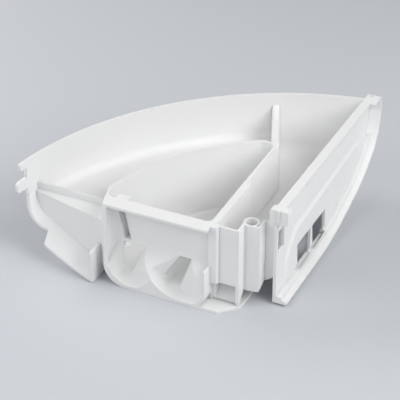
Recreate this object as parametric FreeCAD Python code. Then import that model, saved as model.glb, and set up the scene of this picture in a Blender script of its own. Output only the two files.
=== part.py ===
import FreeCAD, Part
import math
import os

# Detergent drawer of a washing machine, moulded as one thin-walled piece.
# Millimetres. X points out of the front plate, Y runs along the plate, Z is up.
# The pivot tube stands on X = Y = 0 and the drawer rests on Z = 0.

V = FreeCAD.Vector

wall = 2.0
thin_wall = 1.8
overlap = 0.4
beyond = 300.0

# Outer wall: an upright arc with the main compartment's floor at its foot.
rim_z = 70.5
arc_x = 49.0
arc_y = -46.0
arc_r = 200.0
near_end_y = -17.0
main_floor_z = 37.0
floor_round = 6.0
tab_length = 5.5
tab_height = 5.0
tab_round = 1.5
lug_length = 9.5
lug_height = 7.5
lug_drop = 12.0
lug_round = 2.5

# Tub: the deep compartment inside the arc.
tub_top_z = 57.0
tub_floor_z = 7.0
tub_x = 31.2
tub_y = -19.0
tub_r = 128.8
tub_far_width = 11.4
tub_corner_y = -3.0
tub_round = 4.0
tub_chamfer = 2.4
radial_near_x = -20.2
radial_far_x = -21.9
radial_pad_x = -18.0
radial_pad_end_y = 40.0
front_wall_y = -13.0

# Near end of the tub: two round-bottomed troughs under a hanging front wall and a lip.
near_y = -24.0
near_left_x = -90.5
near_right_x = -20.5
left_wall = 3.0
left_wall_round = 1.4
corner_round = 7.0
lip_y = -21.5
block_round = 15.0
trough_split_x = -57.5
trough_overlap = 1.0
trough_floor = 2.0
trough_side_z = 28.0
right_wall = 1.2
right_mouth_in = 4.0
right_mouth_round = 9.0
left_trough_share = 0.97
right_trough_share = 0.77
ridge_near_z = 12.5
ridge_far_z = 26.0
ridge_round = 18.0
trough_run_out_y = 26.0
groove_top_in = 6.2
groove_foot_in = 11.3
groove_width = 4.5
groove_depth = 5.0
gate_top_z = 28.0
gate_foot_z = 5.0
gate_round = 4.0
left_gate_foot_in = 6.7
left_gate_foot = 9.0
left_gate_top_in = 11.2
left_gate_top = 15.0
right_gate_foot_in = 1.5
right_gate_foot = 15.0
right_gate_top_in = 16.5
right_gate_top = 8.0

# Base apron in front of the right compartment, and the column at the radial wall's near end.
apron_z = 1.8
apron_right_x = -1.0
apron_chamfer = 11.0
apron_far_y = 30.0
column_right_x = -15.5
column_near_y = -16.0
column_depth = 5.0
column_round = 1.2

# Right compartment: stepped end wall, pivot tube and a floor that rises from the mouth.
step_1_x = -2.4
step_1_y = -13.5
step_2_x = 7.5
step_2_y = -5.0
step_3_y = 4.0
slot_top_z = 16.0
pivot_outer_r = 5.2
pivot_bore_r = 3.85
pit_mouth_z = 0.0
pit_step_z = 9.5
pit_level_y = 22.0
pit_level_z = 19.5
pit_round = 14.0
divider_angle = 113.2
divider_wall = 5.0
divider_rise = 6.5
divider_blend = 12.0
divider_round = 1.6

# Front plate: a shallow pan that opens outwards, with sloped sides and a raised pad.
plate_x = 14.5
plate_rim_x = 24.0
plate_near_y = 0.5
plate_near_z = 0.5
plate_far_y = 160.2
plate_low_in = 82.2
plate_low_z = 3.4
plate_low_r = 165.0
plate_rise_in = 28.9
plate_rise_z = 19.6
plate_rise_r = 92.0
plate_turn_in = 2.8
plate_turn_z = 39.3
plate_turn_r = 34.0
plate_top_in = 2.7
plate_top_drop = 10.0
rim_wall = 1.6
skirt = 3.1
skirt_wall = 1.6
bead_inset = 2.6
bead_width = 2.0
bead_x = 20.2
bead_top_z = 44.0
rail_width = 6.0
rail_height = 1.5
rail_gusset = 7.0
rail_end = 10.0
rail_gap = 5.0
pad_gap = 0.6
pad_height = 1.2
pad_slope = 3.5
pad_near_y = 13.0
pad_near_z = 26.0
pad_bend_y = 27.0
pad_bend_z = 42.0
pad_far_y = 140.0
pad_far_z = 48.5
pad_corner = 10.0
window_foot_z = 6.5
window_top_z = 26.5
window_near_y = 31.0
window_width = 22.0
window_bar = 2.6
window_slant = 2.0
window_round = 1.0
hook_near_y = 2.6
hook_width = 9.4
hook_foot_z = 36.5
hook_top_z = 53.0
stop_left_x = 12.0
stop_near_y = -1.5
stop_height = 9.5
stop_round = 1.5
fin_wall = 1.2

# Left spout: a curved chute below the dam of the main compartment.
dam_y = -8.0
dam_z = 50.5
ledge_z = 46.0
chute_face_left_y = -9.2
chute_face_right_y = -17.0
chute_face_right_z = 41.0
chute_back_z = 34.5
chute_back_slope = 22.0
chute_back_round = 13.0
chute_lip_z = 3.7
chute_lip_slope = 3.6
chute_lip_round = 25.0
chute_lip_y = -28.5
chute_lip_recede = 0.18
notch_x = -134.5
notch_recede = 0.1
cheek_x = -96.2
cheek_top_z = 23.0
cheek_round = 2.0


def plan(z):
    """Place outline points level at height z."""
    return lambda u, v: V(u, v, z)


def side(x):
    """Place outline points upright across X: u runs along Y, v along Z."""
    return lambda u, v: V(x, u, v)


def facing(y):
    """Place outline points upright across Y: u runs along X, v along Z."""
    return lambda u, v: V(u, y, v)


def outline(corners, place):
    """Closed wire through (u, v, radius) corners, each rounded by its radius."""
    ends = []
    for i, (u, v, radius) in enumerate(corners):
        here = V(u, v, 0)
        back = V(corners[i - 1][0], corners[i - 1][1], 0) - here
        ahead = V(corners[(i + 1) % len(corners)][0], corners[(i + 1) % len(corners)][1], 0) - here
        half = back.getAngle(ahead) / 2
        back.normalize()
        ahead.normalize()
        reach = radius / math.tan(half)
        middle = (back + ahead).normalize() * (radius / math.sin(half) - radius)
        ends.append((here + back * reach, here + middle, here + ahead * reach, radius))
    edges = []
    for i, (start, middle, stop, radius) in enumerate(ends):
        if radius > 0:
            bend = Part.Arc(place(start.x, start.y), place(middle.x, middle.y), place(stop.x, stop.y))
            edges.append(bend.toShape())
        following = ends[(i + 1) % len(ends)][0]
        if stop.distanceToPoint(following) > 1e-6:
            edges.append(Part.makeLine(place(stop.x, stop.y), place(following.x, following.y)))
    return Part.Wire(edges)


def sharp(points):
    """Corners without rounding."""
    return [(u, v, 0) for u, v in points]


def upright(corners, z0, z1):
    """Solid with a plan outline between two heights."""
    return Part.Face(outline(corners, plan(z0))).extrude(V(0, 0, z1 - z0))


def across_x(corners, x0, x1):
    """Solid with a Y-Z outline between two X positions."""
    return Part.Face(outline(corners, side(x0))).extrude(V(x1 - x0, 0, 0))


def across_y(corners, y0, y1):
    """Solid with an X-Z outline between two Y positions."""
    return Part.Face(outline(corners, facing(y0))).extrude(V(0, y1 - y0, 0))


def block(x0, x1, y0, y1, z0, z1):
    """Box between the given planes."""
    return Part.makeBox(x1 - x0, y1 - y0, z1 - z0, V(x0, y0, z0))


def arc_angle(y):
    """Angle about the outer arc's centre, in degrees, where the outer face passes y."""
    return 180 - math.degrees(math.asin((y - arc_y) / arc_r))


def arc_face_x(y):
    """X of the outer face of the outer wall at y."""
    return arc_x - math.sqrt(arc_r**2 - (y - arc_y)**2)


def swept(corners, from_y, to_angle):
    """Revolve a (radius, height) outline about the outer arc's axis, from a near y to an angle."""
    start = arc_angle(from_y)
    wire = outline(corners, lambda u, v: V(arc_x + u, arc_y, v))
    turned = Part.Face(wire).revolve(V(arc_x, arc_y, 0), V(0, 0, 1), start - to_angle)
    turned.rotate(V(arc_x, arc_y, 0), V(0, 0, 1), to_angle)
    return turned


def blunt(radius):
    """Leg of the chamfer that touches an arc of the given radius at its middle."""
    return radius * (2 - math.sqrt(2))


def wall_tab(low, high, length, radius):
    """Tab of the outer wall's own thickness that runs on past its near end, its free corners rounded."""
    tab = swept([
        (arc_r, high, 0), (arc_r, low, 0), (arc_r - wall, low, 0), (arc_r - wall, high, 0),
    ], near_end_y - length, arc_angle(near_end_y + overlap))
    free = [edge for edge in tab.Edges if edge.BoundBox.YMax < near_end_y - length / 2]
    return tab.makeFillet(radius, [edge for edge in free if edge.BoundBox.ZLength < overlap])


# Outer wall and main floor, one section swept round the arc up to the front plate.
plate_end = math.degrees(math.acos((plate_x + overlap - arc_x) / arc_r))
floor_chamfer = blunt(floor_round + wall)
shell = swept([
    (arc_r, rim_z, 0), (arc_r, main_floor_z - wall + floor_chamfer, 0),
    (arc_r - floor_chamfer, main_floor_z - wall, 0), (wall, main_floor_z - wall, 0), (wall, main_floor_z, 0),
    (arc_r - wall, main_floor_z, floor_round), (arc_r - wall, rim_z, 0),
], dam_y, plate_end)
wall_end = swept([
    (arc_r, rim_z, 0), (arc_r, ledge_z, 0), (arc_r - wall, ledge_z, 0), (arc_r - wall, rim_z, 0),
], near_end_y, arc_angle(dam_y + overlap))
rim_tab = wall_tab(rim_z - tab_height, rim_z, tab_length, tab_round)
lug = wall_tab(rim_z - lug_drop - lug_height, rim_z - lug_drop, lug_length, lug_round)

# Tub: a walled prism between the arc, the radial wall and the hanging front wall.
tub_far_y = tub_y + math.sqrt(tub_r**2 - (tub_x - radial_far_x + tub_far_width)**2)


def radial_x(y):
    """X of the radial wall's right face at y."""
    return radial_near_x + (radial_far_x - radial_near_x) * (y - front_wall_y) / (tub_far_y - front_wall_y)


def tub_arc_point(y):
    """Point of the tub's arc face at y."""
    return V(tub_x - math.sqrt(tub_r**2 - (y - tub_y)**2), y, 0)


tub_corner = tub_arc_point(tub_corner_y)


def tub_left_x(y):
    """X of the tub's slanted left face at y."""
    return tub_corner.x + (near_left_x - tub_corner.x) * (y - tub_corner_y) / (near_y - tub_corner_y)


tub_points = [
    V(radial_x(front_wall_y), front_wall_y, 0), V(radial_x(tub_far_y), tub_far_y, 0),
    tub_arc_point(tub_far_y), tub_corner, V(tub_left_x(front_wall_y), front_wall_y, 0),
]
tub_edges = [
    Part.makeLine(tub_points[0], tub_points[1]),
    Part.makeLine(tub_points[1], tub_points[2]),
    Part.Arc(tub_points[2], tub_arc_point(tub_far_y / 2), tub_points[3]).toShape(),
    Part.makeLine(tub_points[3], tub_points[4]),
    Part.makeLine(tub_points[4], tub_points[0]),
]
tub_face = Part.Face(Part.Wire(tub_edges))
tub_body = tub_face.extrude(V(0, 0, tub_top_z))
tub_inside = tub_face.makeOffset2D(-wall)
tub_space = tub_inside.extrude(V(0, 0, rim_z))
tub_cavity = tub_space.translated(V(0, 0, tub_floor_z))
tub_uprights = [edge for edge in tub_cavity.Edges if edge.BoundBox.ZLength > tub_top_z]
tub_cavity = tub_cavity.makeFillet(tub_round, tub_uprights)
tub_foot = [edge for edge in tub_cavity.Edges if edge.BoundBox.ZMax < tub_floor_z + overlap]
tub_cavity = tub_cavity.makeChamfer(tub_chamfer, tub_foot)
under_hollow = tub_inside.extrude(V(0, 0, tub_floor_z - wall))
under_hollow = under_hollow.cut(block(-beyond, beyond, -beyond, trough_run_out_y + 2 * wall, -1, beyond))

# Near end: a block under the troughs, its left edge rounded like the trough inside it.
lip_bottom_z = tub_top_z - thin_wall
behind_front_y = front_wall_y + overlap


def block_section(y):
    """Section of the trough block across Y."""
    return outline([
        (tub_left_x(y), lip_bottom_z, 0), (tub_left_x(y), 0, block_round),
        (near_right_x, 0, right_mouth_round + right_wall), (near_right_x, lip_bottom_z, 0),
    ], facing(y))


ridge = across_x([
    (behind_front_y, 0, 0), (near_y, 0, 0), (near_y, ridge_near_z, 0),
    (front_wall_y, ridge_far_z, ridge_round), (front_wall_y, lip_bottom_z, 0),
    (behind_front_y, lip_bottom_z, 0),
], -beyond, beyond)
right_edge_x = near_right_x - right_wall - right_mouth_round
right_side = block(near_right_x - right_wall, near_right_x, near_y, behind_front_y, 0, trough_side_z)
trough_block = Part.makeLoft([block_section(near_y), block_section(behind_front_y)], True, True)
right_wall_solid = trough_block.common(right_side)
trough_block = trough_block.common(ridge)
inner_near = (near_left_x + left_wall, near_y)
inner_back = (tub_left_x(front_wall_y) + left_wall, front_wall_y)
left_wall_solid = upright([
    (tub_left_x(behind_front_y), behind_front_y, 0), (near_left_x, near_y, left_wall_round),
    (*inner_near, left_wall_round), (*inner_back, corner_round),
    (inner_back[0] + 2 * corner_round, front_wall_y, 0),
    (inner_back[0] + 2 * corner_round, behind_front_y, 0),
], ridge_near_z, tub_top_z)
left_wall_solid = left_wall_solid.cut(across_x(sharp([
    (near_y, ridge_near_z), (lip_y, tub_top_z), (lip_y, beyond), (-beyond, beyond), (-beyond, ridge_near_z),
]), -beyond, beyond))
lip = upright(sharp([
    (tub_left_x(behind_front_y), behind_front_y), (tub_left_x(lip_y + wall), lip_y + wall),
    (tub_left_x(lip_y) + wall, lip_y), (radial_near_x, lip_y), (radial_near_x, behind_front_y),
]), lip_bottom_z, tub_top_z)


def trough_mouth(left, right, right_round, share):
    """Round-bottomed section of a trough; its left arc takes a share of what the right one leaves."""
    left_round = share * (right - left - right_round)
    return outline([
        (left, trough_side_z, 0), (left, trough_floor, left_round),
        (right, trough_floor, right_round), (right, trough_side_z, 0),
    ], facing(near_y - overlap))


def gate(y, foot_z, foot, foot_width, top, top_width):
    """Leaning section of a trough where it passes under the front wall."""
    return outline([
        (top, gate_top_z, 0), (foot, foot_z, gate_round), (foot + foot_width, foot_z, gate_round),
        (top + top_width, gate_top_z, 0),
    ], facing(y))


def trough(left, right, right_round, share, *form):
    """Trough from its mouth through its gate and up a ramp to the tub's floor."""
    run = Part.makeLoft([
        trough_mouth(left, right, right_round, share), gate(front_wall_y, gate_foot_z, *form),
        gate(front_wall_y + wall + overlap, gate_foot_z, *form), gate(trough_run_out_y, tub_floor_z, *form),
    ], True, True)
    before = run.common(block(-beyond, beyond, -beyond, front_wall_y + wall + overlap, -beyond, beyond))
    return before.fuse(run.common(tub_space))


gate_side_x = tub_left_x(front_wall_y) + wall
right_trough_x = trough_split_x - trough_overlap
right_mouth_x = trough_split_x - right_mouth_in
trough_left = trough(
    near_left_x + left_wall, trough_split_x + trough_overlap, block_round, left_trough_share,
    gate_side_x + left_gate_foot_in, left_gate_foot, gate_side_x + left_gate_top_in, left_gate_top)
trough_right = trough(
    right_mouth_x, near_right_x - right_wall, right_mouth_round, right_trough_share,
    right_trough_x + right_gate_foot_in, right_gate_foot, right_trough_x + right_gate_top_in, right_gate_top)
groove_top_x = gate_side_x + groove_top_in
groove_foot_x = gate_side_x + groove_foot_in


def groove(margin, depth):
    """Leaning blind groove at the front wall's left end, grown by a margin."""
    top = lip_bottom_z + margin
    foot = gate_top_z + thin_wall - margin
    return across_y(sharp([
        (groove_top_x - margin, top), (groove_top_x + groove_width + margin, top),
        (groove_foot_x + groove_width + margin, foot), (groove_foot_x - margin, foot),
    ]), front_wall_y - overlap, front_wall_y + depth + margin)


groove_walls = groove(thin_wall, groove_depth).common(tub_body)
groove_space = groove(0, groove_depth)

# Right compartment: a hull whose floor rises from the mouth, rounded into the plate and the outer wall.
pit_stations = [
    (step_1_y, pit_mouth_z), (step_2_y, pit_step_z), (pit_level_y, pit_level_z), (arc_r, pit_level_z),
]


def pit_section(y, z, inset):
    """Hull section across Y, rounded where its floor meets the front plate."""
    right = plate_x + wall - inset
    return outline([
        (-beyond, rim_z + inset, 0), (-beyond, z + inset, 0), (right, z + inset, pit_round - inset),
        (right, rim_z + inset, 0),
    ], facing(y))


def pit_disc(radius, foot):
    """Space inside a cylinder on the arc's axis, over the level floor, with the given corners at its foot."""
    wire = outline([
        (wall, beyond, 0), (wall, foot[0][1], 0), *foot, (radius, beyond, 0),
    ], lambda u, v: V(arc_x + u, arc_y, v))
    return Part.Face(wire).revolve(V(arc_x, arc_y, 0), V(0, 0, 1), 360)


def pit_hull(inset, disc):
    """Hull of the right compartment, shrunk by an inset and ended by a disc."""
    run = Part.makeLoft([pit_section(y, z, inset) for y, z in pit_stations], True, True)
    near = run.common(block(-beyond, beyond, -beyond, pit_level_y + pit_round, -beyond, beyond))
    return near.fuse(run.common(disc))


pit_chamfer = blunt(pit_round)
outer_disc = pit_disc(arc_r, [(arc_r - pit_chamfer, pit_level_z, 0), (arc_r, pit_level_z + pit_chamfer, 0)])
inner_disc = pit_disc(arc_r - wall, [(arc_r - wall, pit_level_z + wall, pit_round - wall)])
pit_outer = pit_hull(0, outer_disc)
pit_inner = pit_hull(wall, inner_disc)

# Divider from the tub's far corner to the outer wall, its top rising to the wall.
divider_lean = V(math.cos(math.radians(divider_angle)), math.sin(math.radians(divider_angle)), 0)
divider_side = V(divider_lean.y, -divider_lean.x, 0)
divider_root = V(radial_far_x, tub_far_y, 0) - divider_side * (divider_wall / 2)
to_root = divider_root - V(arc_x, arc_y, 0)
root_run = to_root.dot(divider_lean)
divider_run = math.sqrt(root_run**2 - to_root.dot(to_root) + arc_r**2) - root_run
divider_far = divider_root + divider_lean * (divider_run + arc_r)
divider_face = Part.Face(outline([
    (divider_run, pit_level_z, 0), (divider_run, tub_top_z + divider_rise, 0),
    (divider_run - divider_blend, tub_top_z, 0), (0, tub_top_z, 0), (0, pit_level_z, 0),
], lambda u, v: divider_root + divider_lean * u - divider_side * (divider_wall / 2) + V(0, 0, v)))
divider = divider_face.extrude(divider_side * divider_wall)
divider_top = [edge for edge in divider.Edges if edge.BoundBox.ZMin > tub_top_z - overlap]
divider_sides = [edge for edge in divider_top if edge.BoundBox.YLength > divider_blend / 2]
divider = divider.makeFillet(divider_round, divider_sides)
divider = divider.common(outer_disc)

# Right compartment's region in plan, its stepped end wall, base apron, column and pivot tube.
radial_middle_x = radial_x(step_1_y) - wall / 2
stair = [
    (radial_middle_x, step_1_y), (step_1_x, step_1_y), (step_1_x, step_2_y), (step_2_x, step_2_y),
    (step_2_x, step_3_y), (plate_x + overlap, step_3_y),
]
stair_back = [(x - thin_wall, y + thin_wall) for x, y in stair]
right_region = upright(sharp(stair + [
    (plate_x + overlap, divider_far.y), (divider_far.x, divider_far.y), (divider_root.x, divider_root.y),
]), -1, beyond)
pit = pit_outer.cut(pit_inner).common(right_region)
step_wall = upright(sharp(stair + [(plate_x + overlap, step_3_y + thin_wall)] + stair_back[4:0:-1] + [
    (radial_middle_x, step_1_y + thin_wall)]), 0, tub_top_z).common(pit_outer)
radial_pad = upright(sharp([
    (radial_x(step_1_y) - wall / 2, step_1_y + overlap), (radial_pad_x, step_1_y + overlap),
    (radial_pad_x, radial_pad_end_y), (radial_x(radial_pad_end_y) - wall / 2, radial_pad_end_y),
]), 0, tub_top_z).common(pit_outer)
slot = block(near_right_x, step_1_x - thin_wall, column_near_y, step_1_y + thin_wall, apron_z, slot_top_z)
apron = upright(sharp([
    (right_edge_x - wall, near_y), (apron_right_x - apron_chamfer, near_y),
    (apron_right_x, near_y + apron_chamfer), (apron_right_x, apron_far_y), (right_edge_x - wall, apron_far_y),
]), 0, apron_z)
column = upright([
    (radial_near_x - wall, column_near_y, column_round), (column_right_x, column_near_y, column_round),
    (column_right_x, column_near_y + column_depth, 0),
    (radial_near_x - wall, column_near_y + column_depth, 0),
], slot_top_z, tub_top_z)
pivot_tube = Part.makeCylinder(pivot_outer_r, tub_top_z).common(pit_outer)
pivot_bore = Part.makeCylinder(pivot_bore_r, tub_top_z, V(0, 0, apron_z + overlap))


def plate_face(x):
    """Front plate's outline at x, its lower edge curving up to the far end, run on past near end and rim."""
    past_near_y = plate_near_y - arc_r / 4
    past_rim_z = rim_z + arc_r / 4
    return Part.Face(outline([
        (past_near_y, past_rim_z, 0), (past_near_y, plate_near_z, 0),
        (plate_far_y - plate_low_in, plate_low_z, plate_low_r),
        (plate_far_y - plate_rise_in, plate_rise_z, plate_rise_r),
        (plate_far_y - plate_turn_in, plate_turn_z, plate_turn_r),
        (plate_far_y, rim_z - plate_top_drop, plate_top_in), (plate_far_y - plate_top_in, rim_z, 0),
        (plate_far_y - plate_top_in, past_rim_z, 0),
    ], side(x)))


def plate_inset(x, inset):
    """Front plate's outline at x, moved inwards."""
    return plate_face(x).makeOffset2D(-inset)


def plate_loft(x, inset, rim_inset):
    """Space inside the plate's sloped sides, from an inset at x to a smaller one at the rim."""
    at_rim = plate_inset(plate_rim_x, rim_inset)
    return Part.makeLoft([plate_inset(x, inset).OuterWire, at_rim.OuterWire], True, True)


# Front plate: flat back, upright rim with a sloped inner side, a bead along it and a rail along the top.
plate_front_x = plate_x + wall
keep = block(plate_x, plate_rim_x, plate_near_y, plate_far_y, 0, rim_z)
pan_inner = plate_loft(plate_front_x, rim_wall + skirt, rim_wall)
back = plate_face(plate_x).extrude(V(wall, 0, 0)).common(keep)
rim_face = plate_face(plate_x).cut(plate_inset(plate_x, rim_wall))
rim = rim_face.extrude(V(plate_rim_x - plate_x, 0, 0)).common(keep)
sloped = plate_loft(plate_x, rim_wall + skirt - skirt_wall, overlap).cut(pan_inner).common(keep)
sloped = sloped.cut(plate_inset(plate_x, rim_wall + skirt).extrude(V(wall, 0, 0)))
near_web = plate_face(plate_x).extrude(V(plate_rim_x - plate_x, 0, 0)).common(keep).cut(pan_inner)
near_web = near_web.common(block(plate_x, plate_rim_x, plate_near_y, plate_near_y + wall, 0, bead_top_z))
bead = plate_inset(plate_x, bead_inset).cut(plate_inset(plate_x, bead_inset + bead_width))
bead = bead.extrude(V(bead_x - plate_x, 0, 0)).common(keep)
bead = bead.cut(block(-beyond, beyond, -beyond, beyond, bead_top_z, beyond))
rail = across_y(sharp([
    (plate_x, rim_z), (plate_x + rail_width, rim_z), (plate_x + rail_width, rim_z - rail_height),
    (plate_front_x, rim_z - rail_height - rail_gusset), (plate_x, rim_z - rail_height - rail_gusset),
]), plate_near_y, plate_far_y - rail_gap)
rail_head = block(
    plate_x, plate_rim_x, plate_far_y - rail_gap - rail_end, plate_far_y - rail_gap,
    rim_z - rail_height, rim_z)

# Raised pad with sloped edges, hollow behind its clip windows, and the openings through the plate.
pad_edge = Part.Face(outline([
    (pad_near_y, -pad_corner, 0), (pad_near_y, pad_near_z, pad_corner), (pad_bend_y, pad_bend_z, pad_corner),
    (pad_far_y, pad_far_z, pad_corner), (pad_far_y + pad_corner, -pad_corner, 0),
], side(plate_front_x)))
pad_face = plate_inset(plate_front_x, rim_wall + skirt + pad_gap).common(pad_edge).Faces[0]
pad_top = pad_face.makeOffset2D(-pad_slope).translated(V(pad_height, 0, 0))
pad = Part.makeLoft([pad_face.OuterWire, pad_top.OuterWire], True, True)
windows_end_y = window_near_y + 2 * window_width + window_bar
pad_hollow = block(
    plate_x, plate_x + pad_height, window_near_y - wall, windows_end_y + wall,
    window_foot_z, window_top_z + wall)


def window(near):
    """Clip window through the pad, its near side leaning."""
    return across_x([
        (near + window_slant, window_foot_z, window_round),
        (near + window_width, window_foot_z, window_round),
        (near + window_width, window_top_z, window_round), (near, window_top_z, window_round),
    ], plate_x - overlap, plate_front_x + pad_height + overlap)


windows = [window(window_near_y), window(window_near_y + window_width + window_bar)]
hook_slot = across_x([
    (hook_near_y, hook_foot_z, window_round), (hook_near_y + hook_width, hook_foot_z, window_round),
    (hook_near_y + hook_width, hook_top_z, window_round), (hook_near_y, hook_top_z, window_round),
], plate_x - overlap, plate_front_x + pad_height + overlap)
plate = back.fuse(pad).cut(pad_hollow)

# Stop block where the rail ends, with a fin on its near side.
stop_foot = block(
    stop_left_x, plate_x + overlap, step_3_y, step_3_y + thin_wall, tub_top_z - stop_height,
    rim_z - stop_height + stop_round)
stop_block = across_y([
    (stop_left_x, rim_z - stop_height, stop_round), (plate_rim_x, rim_z - stop_height, stop_round),
    (plate_rim_x, rim_z, stop_round), (stop_left_x, rim_z, stop_round),
], stop_near_y, step_3_y + overlap)
stop_middle_x = (stop_left_x + plate_rim_x) / 2
stop_fin = block(
    stop_middle_x - fin_wall / 2, stop_middle_x + fin_wall / 2, stop_near_y - fin_wall, plate_near_y,
    rim_z - stop_height, rim_z)


def chute(y, corner_z, slope, radius, inset):
    """Chute section across Y: the upright outer wall rounded into a floor that falls to the right."""
    left = arc_face_x(y) + inset
    right = near_left_x + inset
    tilt = math.radians(slope)
    corner = corner_z + inset / math.cos(tilt) - inset * math.tan(tilt)
    return outline([
        (left, ledge_z + overlap + inset, 0), (left, corner, radius + wall - inset),
        (right, corner - (right - left) * math.tan(tilt), 0), (right, ledge_z + overlap + inset, 0),
    ], facing(y))


def chute_hull(inset):
    """Chute from the dam to the lip, shrunk by an inset."""
    return Part.makeLoft([
        chute(dam_y, chute_back_z, chute_back_slope, chute_back_round, inset),
        chute(chute_lip_y, chute_lip_z, chute_lip_slope, chute_lip_round, inset),
    ], True, True)


def nearer_than(x, y, recede, right_x):
    """Everything nearer than a line in plan through (x, y), as far as right_x."""
    return upright(sharp([
        (x - beyond, y - recede * beyond), (right_x, y + recede * (right_x - x)), (right_x, -beyond),
        (x - beyond, -beyond),
    ]), -beyond, beyond)


# Left spout: the chute's skin, trimmed along its lip and notched below the wall's end.
outer_left_x = arc_face_x(near_end_y)
chute_outer = chute_hull(0)
chute_skin = chute_outer.cut(chute_hull(wall)).cut(block(cheek_x, beyond, -beyond, beyond, -beyond, beyond))
chute_skin = chute_skin.cut(nearer_than(cheek_x, chute_lip_y, -chute_lip_recede, cheek_x + wall))
chute_skin = chute_skin.cut(nearer_than(outer_left_x, near_end_y, notch_recede, notch_x))
cheek = across_x([
    (dam_y, cheek_top_z, 0), (chute_lip_y, cheek_top_z, cheek_round), (chute_lip_y, overlap, cheek_round),
    (dam_y, overlap, 0),
], cheek_x - thin_wall, cheek_x)
dam_right_x = tub_left_x(dam_y) + wall
ledge_fall = (ledge_z - chute_face_right_z) / (dam_y - chute_face_right_y)
ledge_foot_z = ledge_z - ledge_fall * (dam_y + beyond)
under_ledge = across_x(sharp([
    (dam_y, ledge_z), (-beyond, ledge_foot_z), (dam_y, ledge_foot_z),
]), -beyond, beyond)
ledge_plan = sharp([
    (outer_left_x, dam_y), (outer_left_x, chute_face_left_y),
    (dam_right_x, chute_face_right_y), (dam_right_x, dam_y),
])
ledge = upright(ledge_plan, 0, ledge_z).common(under_ledge).cut(under_ledge.translated(V(0, 0, -wall)))
face_plan = sharp([
    (outer_left_x, chute_face_left_y), (dam_right_x, chute_face_right_y),
    (dam_right_x, chute_face_right_y + thin_wall), (outer_left_x, chute_face_left_y + thin_wall),
])
chute_face = upright(face_plan, 0, ledge_z).common(under_ledge).fuse(ledge).common(chute_outer)
arc_disc = Part.makeCylinder(arc_r - overlap, beyond, V(arc_x, arc_y, 0))
dam = block(-beyond, dam_right_x, dam_y, dam_y + thin_wall, main_floor_z - wall, dam_z).common(arc_disc)

# The main floor ends at the tub, the dam and the divider, then the pieces become one solid.
shell = shell.common(block(-beyond, radial_far_x, dam_y, beyond, 0, beyond)).cut(tub_body).cut(right_region)
drawer = tub_body.fuse([
    shell, wall_end, rim_tab, lug, trough_block, left_wall_solid, right_wall_solid, lip, apron, column,
    chute_skin, cheek, chute_face, dam,
])
for opening in (tub_cavity, under_hollow, trough_left, trough_right):
    drawer = drawer.cut(opening)
drawer = drawer.fuse(groove_walls).cut(groove_space)
drawer = drawer.fuse([
    pit, divider, step_wall, radial_pad, pivot_tube, plate, rim, sloped, near_web, bead, rail, rail_head,
    stop_foot, stop_block, stop_fin,
])
for opening in (slot, pivot_bore, hook_slot, *windows):
    drawer = drawer.cut(opening)
drawer = drawer.removeSplitter()
print("solids", len(drawer.Solids), "valid", drawer.isValid(), "volume", round(drawer.Volume))

# The origin moves under the middle of the drawer's box, on the standing face.
box = drawer.optimalBoundingBox()
drawer.translate(V(-(box.XMin + box.XMax) / 2, -(box.YMin + box.YMax) / 2, -box.ZMin))
print("moved by", -(box.XMin + box.XMax) / 2, -(box.YMin + box.YMax) / 2)
print("size", box.XLength, box.YLength, box.ZLength)

os.makedirs("parts", exist_ok=True)
drawer.Solids[0].exportStep("parts/drawer_body.step")
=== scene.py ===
# %% [markdown]
# # A detergent drawer in white moulded plastic
#
# The drawer is one injection moulding, so its whole shape comes from the CAD frame. What Blender adds is
# the finish: a satin white polypropylene with the faint mottling and fine grain that a mould leaves, a
# plain pale floor, soft light from five broad lamps and a camera at the photograph's angle.

# %% Load the frame
import math
import bpy
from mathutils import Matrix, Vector


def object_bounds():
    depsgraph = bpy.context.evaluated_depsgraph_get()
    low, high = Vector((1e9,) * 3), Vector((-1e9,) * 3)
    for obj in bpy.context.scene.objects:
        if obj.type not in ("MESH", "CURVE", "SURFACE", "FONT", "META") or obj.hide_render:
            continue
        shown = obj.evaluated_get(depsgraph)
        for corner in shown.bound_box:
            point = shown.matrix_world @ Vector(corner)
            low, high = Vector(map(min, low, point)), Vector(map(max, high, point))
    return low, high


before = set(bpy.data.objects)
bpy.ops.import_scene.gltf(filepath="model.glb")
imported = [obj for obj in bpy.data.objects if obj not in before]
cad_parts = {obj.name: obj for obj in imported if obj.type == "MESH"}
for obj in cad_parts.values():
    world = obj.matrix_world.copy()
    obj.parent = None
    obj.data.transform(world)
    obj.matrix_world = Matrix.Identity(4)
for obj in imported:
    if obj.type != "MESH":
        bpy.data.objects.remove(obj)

cad_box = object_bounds()
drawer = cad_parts["drawer_body"]
print("CAD box in metres:", [[round(v, 4) for v in corner] for corner in cad_box])
print("drawer triangles:", len(drawer.data.polygons))

# %% [markdown]
# ## Shader maths as Python expressions
#
# A material is a graph of small nodes. Writing that graph as Python expressions keeps it readable: a
# `Signal` wraps one output socket, and `a * b + 0.1` adds the Math nodes that work it out.

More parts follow.
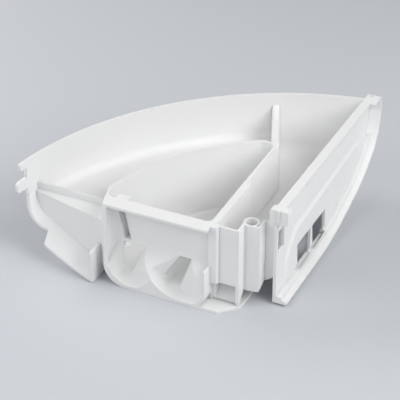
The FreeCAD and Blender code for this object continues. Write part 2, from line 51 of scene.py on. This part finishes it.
# %% A small class that wraps a socket
class Signal:
    """One output socket of a node tree. + - * and their reflected forms add Math nodes."""

    def __init__(self, tree, socket):
        self.tree = tree
        self.socket = socket

    def node(self, kind, settings=None, output=0, **inputs):
        """Add a node: its type, its settings first, then its sockets by name, or by number as i0, i1."""
        made = self.tree.nodes.new(kind)
        for name, value in (settings or {}).items():
            setattr(made, name, value)
        for name, value in inputs.items():
            key = int(name[1:]) if name[0] == "i" and name[1:].isdigit() else name
            if isinstance(value, Signal):
                self.tree.links.new(value.socket, made.inputs[key])
            else:
                made.inputs[key].default_value = value
        return Signal(self.tree, made.outputs[output])

    def math(self, operation, first, second):
        """One Math node on two values."""
        return self.node("ShaderNodeMath", {"operation": operation}, i0=first, i1=second)

    def mix(self, first, second):
        """This signal as the factor between two colours, at the Mix node's colour sockets 6, 7 and 2."""
        return self.node("ShaderNodeMix", {"data_type": "RGBA"}, output=2, i0=self, i6=first, i7=second)

    def __add__(self, other):
        return self.math("ADD", self, other)

    def __radd__(self, other):
        return self.math("ADD", other, self)

    def __sub__(self, other):
        return self.math("SUBTRACT", self, other)

    def __rsub__(self, other):
        return self.math("SUBTRACT", other, self)

    def __mul__(self, other):
        return self.math("MULTIPLY", self, other)

    def __rmul__(self, other):
        return self.math("MULTIPLY", other, self)


print("signal operators: + - *")

# %% [markdown]
# ## Satin white polypropylene
#
# Real moulded polypropylene is a milky off-white. Up close it is not one flat colour: the melt leaves very
# soft clouds of tone, and the mould's spark-eroded steel leaves a fine even grain that breaks up reflections.
# Both are noise on Object coordinates, so they stay on the surface in any view. The clouds vary the colour
# and the roughness a little, and the grain goes into a Bump node.
#
# Two more things are added. Its edges are never razor sharp, so a Bevel node turns the normals near each
# edge, which then catches a thin line of light. And the grooves and inside corners get painted shade: the
# Ambient Occlusion node measures how open a point is, and the less open it is, the more grey is mixed into
# the colour. The edges could be rounded in a mesh as well, but the shape belongs to the CAD model, and at
# this size the eye sees only the shading.

# %% Choose the plastic's tones, grain and edges
DARKER_WHITE = (0.850, 0.852, 0.853, 1.0)
LIGHTER_WHITE = (0.890, 0.890, 0.886, 1.0)
CLOUDS_PER_METRE = 22.0
CLOUD_DETAIL = 3.0
CLOUD_ROUGHNESS = 0.55
SATIN_ROUGHNESS = 0.40
ROUGHNESS_SPREAD = 0.10
GRAIN_PER_METRE = 2600.0
GRAIN_DETAIL = 2.0
GRAIN_STRENGTH = 0.12
GRAIN_DEPTH = 0.0001
# Painted shade: a grey mixed into the colour of grooves and inside corners, more where a point is closed in
PAINTED_SHADE_GREY = (0.50, 0.51, 0.52, 1.0)
PAINTED_SHADE_WEIGHT = 0.7
CORNER_REACH = 0.0025
CORNER_SAMPLES = 8
EDGE_RADIUS = 0.0006
EDGE_SAMPLES = 6
PLASTIC_IOR = 1.49
print("grain in millimetres:", round(1000 / GRAIN_PER_METRE, 2))


# %% Make the plastic
def moulded_white(name):
    """White plastic with t = clouds: tone = darker + t * (lighter - darker), roughness = satin + spread * t.

    The tone then gets painted shade, a grey mixed in by a weight times (1 - openness), and the grain bumps
    the softened normal.
    """
    material = bpy.data.materials.new(name)
    material.use_nodes = True
    tree = material.node_tree
    shader = tree.nodes["Principled BSDF"]
    shader.inputs["IOR"].default_value = PLASTIC_IOR
    place = Signal(tree, tree.nodes.new("ShaderNodeTexCoord").outputs["Object"])
    clouds = place.node("ShaderNodeTexNoise", Vector=place, Scale=CLOUDS_PER_METRE,
                        Detail=CLOUD_DETAIL, Roughness=CLOUD_ROUGHNESS)
    grain = place.node("ShaderNodeTexNoise", Vector=place, Scale=GRAIN_PER_METRE, Detail=GRAIN_DETAIL)
    openness = place.node("ShaderNodeAmbientOcclusion", {"samples": CORNER_SAMPLES, "only_local": True},
                          output=1, Distance=CORNER_REACH)
    soft_edge = place.node("ShaderNodeBevel", {"samples": EDGE_SAMPLES}, Radius=EDGE_RADIUS)
    tone = clouds.mix(DARKER_WHITE, LIGHTER_WHITE)
    # Painted shade: the tone turns towards grey where the Ambient Occlusion node finds the surface closed in
    tone_with_painted_shade = (PAINTED_SHADE_WEIGHT * (1.0 - openness)).mix(tone, PAINTED_SHADE_GREY)
    roughness = SATIN_ROUGHNESS + ROUGHNESS_SPREAD * clouds
    bump = place.node("ShaderNodeBump", Strength=GRAIN_STRENGTH, Distance=GRAIN_DEPTH,
                      Height=grain, Normal=soft_edge)
    for socket, signal in (("Base Color", tone_with_painted_shade), ("Roughness", roughness), ("Normal", bump)):
        tree.links.new(signal.socket, shader.inputs[socket])
    return material


plastic = moulded_white("satin_white_plastic")
for slot in drawer.material_slots:
    slot.material = plastic
print("material slots on the drawer:", len(drawer.material_slots))

# %% [markdown]
# ## Floor and light
#
# The floor is a large pale sheet. The photograph's light is broad and even, with no hard shadow, and a white
# piece shows its form only where its walls get slightly different amounts of it. So five large square lamps
# stand round the drawer: two at the right, two at the left and a weak one in front. Their watts were fitted
# to the tones of the walls. A faint sky keeps the deepest corners from going black.

# %% Lay the floor
FLOOR_HALF = 4.0
FLOOR_COLOUR = (0.60, 0.62, 0.65, 1.0)
FLOOR_ROUGHNESS = 0.9
FLOOR_SHINE = 0.1
corners = [(-FLOOR_HALF, -FLOOR_HALF, 0), (FLOOR_HALF, -FLOOR_HALF, 0), (FLOOR_HALF, FLOOR_HALF, 0),
           (-FLOOR_HALF, FLOOR_HALF, 0)]
floor_mesh = bpy.data.meshes.new("floor")
floor_mesh.from_pydata(corners, [], [(0, 1, 2, 3)])
floor = bpy.data.objects.new("floor", floor_mesh)
bpy.context.scene.collection.objects.link(floor)
floor_paper = bpy.data.materials.new("floor_paper")
floor_paper.use_nodes = True
paper_sockets = floor_paper.node_tree.nodes["Principled BSDF"].inputs
paper_sockets["Base Color"].default_value = FLOOR_COLOUR
paper_sockets["Roughness"].default_value = FLOOR_ROUGHNESS
paper_sockets["Specular IOR Level"].default_value = FLOOR_SHINE
floor_mesh.materials.append(floor_paper)
print("floor side in metres:", 2 * FLOOR_HALF)

# %% Set the lights
LAMPS = (  # name, place in metres, side in metres, watts
    ("right", (0.95, -0.25, 0.75), 0.7, 6.6),
    ("right_high", (0.75, 0.10, 0.95), 0.8, 4.2),
    ("left_near", (-0.7, -0.9, 0.8), 0.9, 6.0),
    ("front", (0.45, -1.1, 0.6), 0.8, 2.0),
    ("left_far", (-1.0, 0.1, 0.6), 0.8, 7.8),
)
middle = Vector([(low + high) / 2 for low, high in zip(*cad_box)])


def soft_lamp(name, place, side, watts):
    """A square area lamp at `place`, turned to the drawer's middle."""
    data = bpy.data.lights.new(name, "AREA")
    data.energy = watts
    data.size = side
    lamp = bpy.data.objects.new(name, data)
    lamp.location = place
    lamp.rotation_euler = (Vector(place) - middle).to_track_quat("Z", "Y").to_euler()
    bpy.context.scene.collection.objects.link(lamp)


for lamp_row in LAMPS:
    soft_lamp(*lamp_row)
print("lamps:", [name for name, *_ in LAMPS])

# %% Add the faint sky
SKY_COLOUR = (0.95, 0.97, 1.0, 1.0)
SKY_STRENGTH = 0.11
world = bpy.data.worlds.new("studio")
bpy.context.scene.world = world
world.use_nodes = True
sky_sockets = world.node_tree.nodes["Background"].inputs
sky_sockets["Color"].default_value = SKY_COLOUR
sky_sockets["Strength"].default_value = SKY_STRENGTH
bpy.context.scene.view_settings.view_transform = "Standard"
print("sky strength:", SKY_STRENGTH)

# %% [markdown]
# ## Camera
#
# The photograph was taken from the front right, a little above, with a long lens. Azimuth and elevation
# give the direction from the drawer to the camera, and the distance sets how strongly the lines converge.

# %% Aim the camera
AZIMUTH = math.radians(25.7)
ELEVATION = math.radians(32.45)
DISTANCE = 1.0214
AIM = Vector((0.010924, -0.029726, 0.0375))
LENS_MM = 144.0
SENSOR_MM = 36.0
direction = Vector((math.sin(AZIMUTH) * math.cos(ELEVATION), -math.cos(AZIMUTH) * math.cos(ELEVATION),
                    math.sin(ELEVATION)))
lens = bpy.data.cameras.new("camera")
lens.lens = LENS_MM
lens.sensor_width = SENSOR_MM
camera = bpy.data.objects.new("camera", lens)
camera.location = AIM + direction * DISTANCE
camera.rotation_euler = direction.to_track_quat("Z", "Y").to_euler()
bpy.context.scene.collection.objects.link(camera)
bpy.context.scene.camera = camera
print("camera at", [round(v, 3) for v in camera.location])
